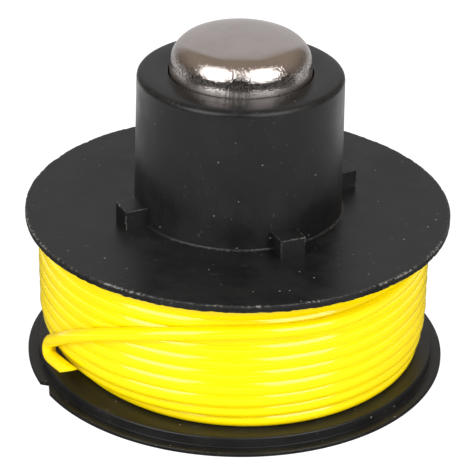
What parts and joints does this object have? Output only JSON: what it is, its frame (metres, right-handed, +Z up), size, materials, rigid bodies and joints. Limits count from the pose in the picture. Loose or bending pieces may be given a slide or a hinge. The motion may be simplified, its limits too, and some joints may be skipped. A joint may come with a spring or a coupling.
{
  "type": "trimmer line spool",
  "caption": "Round spool of cutting line for a grass trimmer: a flanged black drum with a hollow knob, a domed steel wear cap on it, and yellow line wound between the flanges.",
  "frame": {"origin": "on the spool's axis, in the plane that the lower flange's foot stands on", "axes": "+Z up the axis, from the lower flange to the knob and its cap; -Y towards the side that the picture shows"},
  "size_m": [0.0644, 0.0644, 0.0531],
  "materials": {
    "black_moulding": "injection moulded, satin, with fine scuffs and dust",
    "plated_steel": "pressed sheet steel, nickel plated",
    "yellow_line": "extruded nylon line, glossy and slightly translucent"
  },
  "bodies": {
    "root": {"spool_body": "black_moulding", "bump_cap": "plated_steel", "trimmer_line": "yellow_line"}
  },
  "joints": []
}
